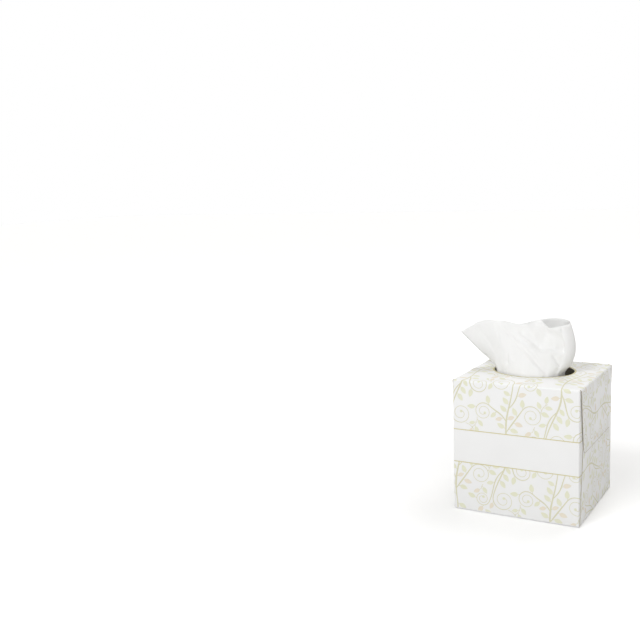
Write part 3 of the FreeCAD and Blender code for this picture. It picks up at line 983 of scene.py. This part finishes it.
FLOOR_HALF = 6.0
FLOOR_DROP = 0.2 * MM
FLOOR_GREY = (0.80, 0.80, 0.80)
GLOW_NEAR, GLOW_FAR = 0.12, 0.5       # between these distances from the box the floor's own light grows
GLOW_LEAST, GLOW_MOST = 0.25, 0.60


def looking_rays(tree):
    """One for rays that look at the setting, straight or through a shiny or clear surface, else nought."""
    rays = node(tree, "ShaderNodeLightPath")
    seen = rays.outputs["Is Camera Ray"]
    for kind in ("Is Glossy Ray", "Is Transmission Ray"):
        larger = node(tree, "ShaderNodeMath", operation="MAXIMUM")
        tree.links.new(seen, larger.inputs[0])
        tree.links.new(rays.outputs[kind], larger.inputs[1])
        seen = larger.outputs[0]
    return seen


def white_floor():
    """A floor that looks white all over and keeps the box's shadow."""
    bm = bmesh.new()
    bmesh.ops.create_grid(bm, x_segments=1, y_segments=1, size=FLOOR_HALF)
    mesh = bpy.data.meshes.new("floor")
    bm.to_mesh(mesh)
    bm.free()
    floor = bpy.data.objects.new("floor", mesh)
    collection.objects.link(floor)
    floor.location.z = -FLOOR_DROP
    material, tree, shader = paint("white_floor", FLOOR_GREY, roughness=0.8)
    away = node(tree, "ShaderNodeVectorMath", {"Vector": place(tree)}, operation="LENGTH")
    glow = node(tree, "ShaderNodeMapRange",
                {"Value": away.outputs["Value"], "From Min": GLOW_NEAR, "From Max": GLOW_FAR,
                 "To Min": GLOW_LEAST, "To Max": GLOW_MOST})
    lit = node(tree, "ShaderNodeEmission", {"Color": (1, 1, 1, 1), "Strength": glow.outputs["Result"]})
    seen = node(tree, "ShaderNodeMixShader", {"Fac": looking_rays(tree)})
    both = node(tree, "ShaderNodeAddShader")
    tree.links.new(shader.outputs[0], both.inputs[0])
    tree.links.new(lit.outputs[0], both.inputs[1])
    tree.links.new(shader.outputs[0], seen.inputs[1])
    tree.links.new(both.outputs[0], seen.inputs[2])
    tree.links.new(seen.outputs[0], tree.nodes["Material Output"].inputs["Surface"])
    mesh.materials.append(material)


def studio():
    """An even light from all round, which looks white."""
    world = bpy.data.worlds.new("studio")
    bpy.context.scene.world = world
    world.use_nodes = True
    tree = world.node_tree
    back = tree.nodes["Background"]
    back.inputs["Color"].default_value = (1, 0.985, 0.955, 1)
    back.inputs["Strength"].default_value = 0.42
    white = node(tree, "ShaderNodeBackground", {"Color": (1, 1, 1, 1), "Strength": 1.0})
    mix = node(tree, "ShaderNodeMixShader", {"Fac": looking_rays(tree)})
    tree.links.new(back.outputs[0], mix.inputs[1])
    tree.links.new(white.outputs[0], mix.inputs[2])
    tree.links.new(mix.outputs[0], tree.nodes["World Output"].inputs["Surface"])


BOX_MIDDLE = Vector((0, 0, 80 * MM))  # of the box and its sheet together


def lamp(name, place_at, size, power, colour=(1, 1, 1)):
    """A square soft lamp that points at the box."""
    light = bpy.data.lights.new(name, "AREA")
    light.size = size
    light.energy = power
    light.color = colour
    holder = bpy.data.objects.new(name, light)
    collection.objects.link(holder)
    holder.location = place_at
    aim = BOX_MIDDLE - Vector(place_at)
    holder.rotation_euler = aim.to_track_quat("-Z", "Y").to_euler()


CAMERA_AT = (0.24412, -0.79498, 0.30242)
CAMERA_TURN = (-0.5338, 0.1563, -0.0363)      # yaw, pitch down and roll, in radians
SENSOR = 36
LENS = 50.79


def camera():
    """The camera at the photograph's angle."""
    yaw, pitch, roll = CAMERA_TURN
    ahead = Vector((math.sin(yaw) * math.cos(pitch), math.cos(yaw) * math.cos(pitch), -math.sin(pitch)))
    level = Vector((math.cos(yaw), -math.sin(yaw), 0))
    above = level.cross(ahead)
    right = level * math.cos(roll) + above * math.sin(roll)
    above = above * math.cos(roll) - level * math.sin(roll)
    lens = bpy.data.cameras.new("camera")
    lens.sensor_width = SENSOR
    lens.lens = LENS
    lens.clip_start = 10 * MM
    holder = bpy.data.objects.new("camera", lens)
    collection.objects.link(holder)
    turn = Matrix((right, above, -ahead)).transposed().to_4x4()
    holder.matrix_world = Matrix.Translation(CAMERA_AT) @ turn
    bpy.context.scene.camera = holder


white_floor()
studio()
lamp("key", (-0.22, -1.12, 1.04), 0.5, 9.3, (0.975, 0.985, 1.0))
lamp("fill", (0.75, -1.2, 0.85), 0.5, 2.1)
lamp("back_top", (0.2, 0.55, 1.35), 0.7, 5.6)
camera()
bpy.context.scene.view_settings.view_transform = "Standard"
